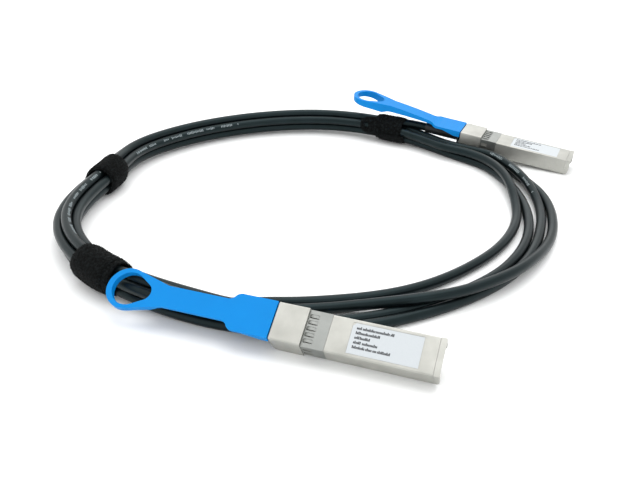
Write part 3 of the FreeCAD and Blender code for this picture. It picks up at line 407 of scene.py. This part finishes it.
# ---------------------------------------------------------------- labels
# A bluish white film label lies in each cover's recess. Its print is five rows of plain dark bars, which
# stand for lines of text, and each bar is a flat patch of ink on the film.
film, tree, shader = new_finish("printed_label_film")
where = node(tree, "ShaderNodeTexCoord")
two_tone(tree, shader, where, 1800.0, 3.0, "#B8BEC2", "#C0C5C8")
shader.inputs["Roughness"].default_value = 0.42
dress(["label"], film)

ink, tree, shader = new_finish("thermal_print_ink")
where = node(tree, "ShaderNodeTexCoord")
two_tone(tree, shader, where, 3000.0, 1.0, "#0C0E12", "#24272C")
shader.inputs["Roughness"].default_value = 0.5

LABEL_TOP = 8.45
INK_THICK = 0.03
# where each row of print starts across the label, and how long its words are
ROW_STARTS = (3.9, 2.2, 0.5, -1.2, -2.9)
ROW_WORDS = ((1.6, 4.0, 4.6, 1.2), (4.0, 3.6), (1.4, 3.4), (2.6, 5.2), (4.2, 2.0, 1.1, 4.4))
PRINT_LEFT, WORD_GAP, STROKE_WIDE, STROKE_GAP, ROW_HIGH = 17.7, 0.45, 0.34, 0.1, 1.15
STROKE_SHARES = (0.62, 0.62, 0.9)
PRINT_SEED = 7


def bar_tree(name, paint):
    """Geometry Nodes: puts a flat ink stroke of the stored size on each point, all in one plain mesh."""
    group = bpy.data.node_groups.new(name, "GeometryNodeTree")
    group.interface.new_socket("Geometry", in_out="INPUT", socket_type="NodeSocketGeometry")
    thick = group.interface.new_socket("Ink Thickness", in_out="INPUT", socket_type="NodeSocketFloat")
    thick.default_value = 1.0
    group.interface.new_socket("Geometry", in_out="OUTPUT", socket_type="NodeSocketGeometry")
    source = node(group, "NodeGroupInput")
    shape = node(group, "GeometryNodeInputNamedAttribute", {"Name": "stroke"}, data_type="FLOAT_VECTOR")
    tilt = node(group, "GeometryNodeInputNamedAttribute", {"Name": "tilt"}, data_type="FLOAT_VECTOR")
    block = node(group, "ShaderNodeCombineXYZ", {"X": 1.0, "Y": 1.0, "Z": source.outputs["Ink Thickness"]})
    stroke = node(group, "GeometryNodeMeshCube", {"Size": block.outputs["Vector"]})
    put = node(group, "GeometryNodeInstanceOnPoints",
               {"Points": source.outputs["Geometry"], "Instance": stroke.outputs["Mesh"],
                "Rotation": tilt.outputs["Attribute"], "Scale": shape.outputs["Attribute"]})
    whole = node(group, "GeometryNodeRealizeInstances", {"Geometry": put.outputs["Instances"]})
    inked = node(group, "GeometryNodeSetMaterial", {"Geometry": whole.outputs["Geometry"], "Material": paint})
    node(group, "NodeGroupOutput", {"Geometry": inked.outputs["Geometry"]})
    return group


def plain_mesh(item):
    """Replaces a piece's live modifiers by the mesh they make."""
    bpy.context.view_layer.update()
    made = bpy.data.meshes.new_from_object(item.evaluated_get(bpy.context.evaluated_depsgraph_get()))
    item.modifiers.clear()
    item.data = made


def print_strokes(name, tree, places, sizes, tilts):
    """One printed piece: a flat bar of ink at each place, made by the stroke tree into a plain mesh."""
    seeds = bpy.data.meshes.new(name)
    seeds.from_pydata([Vector(p) / 1000 for p in places], [], [])
    for title, rows in (("stroke", [Vector(size) / 1000 for size in sizes]), ("tilt", tilts)):
        held = seeds.attributes.new(title, "FLOAT_VECTOR", "POINT")
        held.data.foreach_set("vector", [v for row in rows for v in row])
    printed = bpy.data.objects.new(name, seeds)
    bpy.context.scene.collection.objects.link(printed)
    printed.modifiers.new("ink", "NODES").node_group = tree
    plain_mesh(printed)
    return printed


label_strokes = bar_tree("label_strokes", ink)
for end in PLUGS:
    draw = random.Random(PRINT_SEED)
    places, sizes = [], []
    for row_start, words in zip(ROW_STARTS, ROW_WORDS):
        x = PRINT_LEFT
        for word in words:
            stop = x + word
            while x < stop:
                high = ROW_HIGH * draw.choice(STROKE_SHARES)
                places.append((x, row_start - ROW_HIGH / 2 + high / 2, LABEL_TOP + INK_THICK / 2))
                sizes.append((STROKE_WIDE, high, INK_THICK))
                x += STROKE_WIDE + STROKE_GAP
            x = stop + WORD_GAP
    printed = print_strokes(end + "_label_print", label_strokes, places, sizes, [(0, 0, 0)] * len(places))
    place = plug_frame(end)
    place.translation /= 1000
    printed.data.transform(place)
    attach(printed, "cable")


# ---------------------------------------------------------------- jacket print
# The jacket carries a pale ink-jet marking that repeats along its length. Here it is plain short bars in
# groups, laid on the strand's skin along three stretches where it faces up and towards the coil's middle.
MARK_WIDE, MARK_GAP, MARK_HIGH, MARK_THICK, MARK_SUNK = 0.36, 0.5, 1.35, 0.03, 0.02
MARK_SHARES = (0.55, 0.8, 1.0)
FIRST_GROUP, GROUP_PAUSE, GROUP_LENGTH = 9, (1.2, 6.0), (3.0, 11.0)
LOOK_AHEAD = 0.5
MARK_SEED = 19
# turn of the coil, first and last angle round it, and the print's lean from straight up towards the middle
MARK_RUNS = [(2, 136, 98, 52), (4, 199, 162, 40), (0, 8, -16, 40)]
chalk, tree, shader = new_finish("pale_jacket_ink")
where = node(tree, "ShaderNodeTexCoord")
two_tone(tree, shader, where, 3000.0, 1.0, "#6E7A7E", "#A9B4B7")
shader.inputs["Roughness"].default_value = 0.6

draw = random.Random(MARK_SEED)
places, sizes, tilts = [], [], []
run_line = cable_line * 1000
travelled = np.concatenate([[0], np.cumsum(np.linalg.norm(np.diff(run_line, axis=0), axis=1))])
coil_places = coil_rows()
per_turn = round(360 / COIL_STEP)
for number, first_angle, last_angle, lean in MARK_RUNS:
    stops = []
    for angle in (first_angle, last_angle):
        row = coil_places[round(number * per_turn + (COIL_START - angle) / COIL_STEP)]
        stops.append(travelled[np.argmin(np.linalg.norm(run_line - np.array(oval_point(*row)), axis=1))])
    at, group_end = stops[0], stops[0] + FIRST_GROUP
    while at < stops[1]:
        if at > group_end:
            at += draw.uniform(*GROUP_PAUSE)
            group_end = at + draw.uniform(*GROUP_LENGTH)
        spot = Vector([np.interp(at, travelled, run_line[:, c]) for c in range(3)])
        further = Vector([np.interp(at + LOOK_AHEAD, travelled, run_line[:, c]) for c in range(3)])
        forward = (further - spot).normalized()
        inward = Vector((COIL_MIDDLE[0] - spot.x, COIL_MIDDLE[1] - spot.y, 0)).normalized()
        facing = Vector((0, 0, math.cos(math.radians(lean)))) + inward * math.sin(math.radians(lean))
        facing = (facing - forward * facing.dot(forward)).normalized()
        places.append(spot + facing * (CABLE_ACROSS / 2 - MARK_SUNK))
        sizes.append((MARK_WIDE, MARK_HIGH * draw.choice(MARK_SHARES), MARK_THICK))
        tilts.append(Matrix((forward, facing.cross(forward), facing)).transposed().to_euler())
        at += MARK_WIDE + MARK_GAP
marking = print_strokes("jacket_print", bar_tree("jacket_strokes", chalk), places, sizes, tilts)
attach(marking, "cable")


# ---------------------------------------------------------------- ties
# Three straps of black hook-and-loop tape gather the coil. Each is a woven nylon band rolled about twice
# round the five strands and pressed on itself, with a cut free end and a napped, matt outer face.
NAP_DARK, NAP_PALE = "#010202", "#161B1C"
STRAP_THICK, EDGE_ROUND = 0.7, 0.18
STRAP_STEPS, STRAP_ROWS = 110, 12
# angle round the coil, width of the whole roll, outer radius, where the free end lies round the roll (0 faces
# the coil's middle, 90 is up), wraps, and how far the tape drifts sideways over its length
TIE_ROLLS = {"tie_front": (212, 22.5, 8.2, -70, 2.4, -4.6), "tie_left": (152.6, 21.5, 8.2, -70, 2.4, -3.6),
             "tie_back": (47, 18.5, 7.7, -12, 1.9, -2.4)}
# wraps lie closer than their own thickness where they press, and the free end lifts a little
ROLL_INSET, WRAP_GAP, WRAP_PRESS = 0.45, 0.12, 0.6
END_LIFT, END_SHARE = 0.3, 0.05
SWAY, SLOW_RIPPLE, FAST_RIPPLE = 0.5, 0.12, 0.07
EDGE_START, EDGE_FALL = 0.6, 0.35
# the five strands inside show as five soft lobes
LOBES, LOBE_HIGH = 5, 0.14
# the back strap's slotted end is a rounded tongue that sticks out along the coil
EYE_REACH, EYE_LIP, EYE_ROWS, EYE_COLUMNS = 9.0, 0.6, 15, 11
EYE_TOP, EYE_TURN = 66, 7
EYE_ROUND, EYE_TUCK, EYE_ROOT, EYE_INSET, EYE_DROP = 2.6, 3.5, 2.5, 0.95, 0.2
EYE_SLIT = [(i, j) for i in (5, 6, 7, 8) for j in (6, 7)]
NAP_ROOM = 0.32
nap, tree, shader = new_finish("napped_nylon_tape")
where = node(tree, "ShaderNodeTexCoord")
tuft = two_tone(tree, shader, where, 1000.0, 6.0, NAP_DARK, NAP_PALE, spread=(0.46, 0.72))
bumped(tree, shader, tuft, 1.0, 0.0004)
shader.inputs["Roughness"].default_value = 0.95
shader.inputs["Specular IOR Level"].default_value = 0.12
shader.inputs["Sheen Weight"].default_value = 0.02
shader.inputs["Sheen Roughness"].default_value = 0.5


def nap_tree():
    """Geometry Nodes: scatters small leaning loops of fibre over the strap's faces and joins them to it."""
    group = bpy.data.node_groups.new("nap_loops", "GeometryNodeTree")
    group.interface.new_socket("Geometry", in_out="INPUT", socket_type="NodeSocketGeometry")
    for name, value in (("Loops per Square Metre", 2.2e6), ("Loop Radius", 0.00024),
                        ("Fibre Radius", 0.00005)):
        group.interface.new_socket(name, in_out="INPUT", socket_type="NodeSocketFloat").default_value = value
    group.interface.new_socket("Seed", in_out="INPUT", socket_type="NodeSocketInt").default_value = 11
    group.interface.new_socket("Geometry", in_out="OUTPUT", socket_type="NodeSocketGeometry")
    source = node(group, "NodeGroupInput")
    spots = node(group, "GeometryNodeDistributePointsOnFaces",
                 {"Mesh": source.outputs["Geometry"], "Density": source.outputs["Loops per Square Metre"],
                  "Seed": source.outputs["Seed"]})
    ring = node(group, "GeometryNodeCurvePrimitiveCircle",
                {"Resolution": 5, "Radius": source.outputs["Loop Radius"]})
    fibre = node(group, "GeometryNodeCurvePrimitiveCircle",
                 {"Resolution": 3, "Radius": source.outputs["Fibre Radius"]})
    loop = node(group, "GeometryNodeCurveToMesh",
                {"Curve": ring.outputs["Curve"], "Profile Curve": fibre.outputs["Curve"]})
    stand = node(group, "GeometryNodeTransform",
                 {"Geometry": loop.outputs["Mesh"], "Rotation": (math.pi / 2, 0, 0)})
    spin = node(group, "FunctionNodeRandomValue",
                {0: (-0.5, -0.5, 0.0), 1: (0.5, 0.5, 6.28), "Seed": source.outputs["Seed"]},
                data_type="FLOAT_VECTOR")
    turned = node(group, "FunctionNodeRotateRotation",
                  {"Rotation": spots.outputs["Rotation"], "Rotate By": spin.outputs["Value"]},
                  rotation_space="LOCAL")
    put = node(group, "GeometryNodeInstanceOnPoints",
               {"Points": spots.outputs["Points"], "Instance": stand.outputs["Geometry"],
                "Rotation": turned.outputs["Rotation"]})
    whole = node(group, "GeometryNodeRealizeInstances", {"Geometry": put.outputs["Instances"]})
    both = node(group, "GeometryNodeJoinGeometry")
    group.links.new(source.outputs["Geometry"], both.inputs[0])
    group.links.new(whole.outputs["Geometry"], both.inputs[0])
    dyed = node(group, "GeometryNodeSetMaterial", {"Geometry": both.outputs["Geometry"], "Material": nap})
    node(group, "NodeGroupOutput", {"Geometry": dyed.outputs["Geometry"]})
    return group


def bundle_frame(angle):
    """Middle of the gathered bundle at an angle, and the level direction from there into the coil."""
    spot = eased(BUNDLE, min(max(angle, COIL_END), COIL_START))
    here = oval_point(angle, *spot)
    along = (oval_point(angle - 1, *spot) - oval_point(angle + 1, *spot))
    along.z = 0
    along.normalize()
    return here, along.cross(Vector((0, 0, 1))).normalized()


def tape_grid(rows):
    """Vertices and faces of a strip of tape laid out as a grid of points, in metres."""
    wide = len(rows[0])
    faces = [(a, a + 1, a + wide + 1, a + wide)
             for i in range(len(rows) - 1) for a in range(i * wide, (i + 1) * wide - 1)]
    return [p / 1000 for row in rows for p in row], faces


napping = nap_tree()
per_mm = 180 / math.pi / (COIL_SHORT + COIL_LONG) * 2
for tie_name, (angle, wide, outside, free_end, wraps, drift) in TIE_ROLLS.items():
    wave = random.Random(int(angle))
    phases = [wave.uniform(0, 2 * math.pi) for _ in range(3)]
    height = eased(BUNDLE, angle)[1]
    grid = []
    for i in range(STRAP_STEPS + 1):
        share = i / STRAP_STEPS
        turn = math.radians(free_end) - 2 * math.pi * wraps * (1 - share)
        inner = (STRAP_THICK + WRAP_GAP) * (1 - share) * wraps * WRAP_PRESS
        layer = outside - ROLL_INSET - STRAP_THICK / 2 - inner
        lifted = END_LIFT * max(0.0, share - (1 - END_SHARE)) / END_SHARE
        slide = drift * (0.5 - share) + SWAY * math.sin(5 * share + phases[0])
        row = []
        for j in range(STRAP_ROWS + 1):
            cross = (j / STRAP_ROWS - 0.5) * (wide - abs(drift))
            edge = max(0.0, abs(2 * j / STRAP_ROWS - 1) - EDGE_START) / (1 - EDGE_START)
            ripple = (SLOW_RIPPLE * math.sin(3 * turn + phases[1] + cross * 0.35)
                      + FAST_RIPPLE * math.sin(8 * turn + phases[2] - cross))
            lobe = LOBE_HIGH * math.cos(LOBES * (turn - math.pi / 2))
            away = layer + lifted + lobe + ripple * edge - EDGE_FALL * edge ** 2
            here, inward = bundle_frame(angle - (cross + slide) * per_mm)
            place = here + inward * (away * math.cos(turn))
            place.z = max(height + away * math.sin(turn), STRAP_THICK / 2 + NAP_ROOM)
            row.append(place)
        grid.append(row)
    points, faces = tape_grid(grid)
    if tie_name == "tie_back":
        grid = []
        for i in range(EYE_ROWS):
            turn = math.radians(EYE_TOP - EYE_TURN * i)
            half = 2 * i / (EYE_ROWS - 1) - 1
            row = []
            for j in range(EYE_COLUMNS):
                reach = EYE_REACH * math.sqrt(max(0.0, 1 - abs(half) ** EYE_ROUND)) + EYE_LIP
                gone = j / (EYE_COLUMNS - 1)
                cross = -wide / 2 + EYE_TUCK - gone * (reach + EYE_ROOT)
                here, inward = bundle_frame(angle - cross * per_mm)
                away = outside - EYE_INSET - EYE_DROP * gone ** 2
                place = here + inward * (away * math.cos(turn))
                place.z = max(here.z + away * math.sin(turn), STRAP_THICK / 2 + NAP_ROOM)
                row.append(place)
            grid.append(row)
        eye_points, eye_faces = tape_grid(grid)
        kept = [f for f in eye_faces if divmod(f[0], EYE_COLUMNS) not in EYE_SLIT]
        faces += [tuple(v + len(points) for v in f) for f in kept]
        points += eye_points
    tape = bpy.data.meshes.new(tie_name + "_strap")
    tape.from_pydata(points, [], faces)
    tape.update()
    strap = bpy.data.objects.new(tie_name + "_strap", tape)
    bpy.context.scene.collection.objects.link(strap)
    thicken = strap.modifiers.new("thickness", "SOLIDIFY")
    thicken.thickness = STRAP_THICK / 1000
    thicken.offset = 0
    soften = strap.modifiers.new("edges", "BEVEL")
    soften.width = EDGE_ROUND / 1000
    soften.segments = 2
    strap.modifiers.new("nap", "NODES").node_group = napping
    plain_mesh(strap)
    for face in strap.data.polygons:
        face.use_smooth = True
    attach(strap, "cable")
    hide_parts(tie_name)
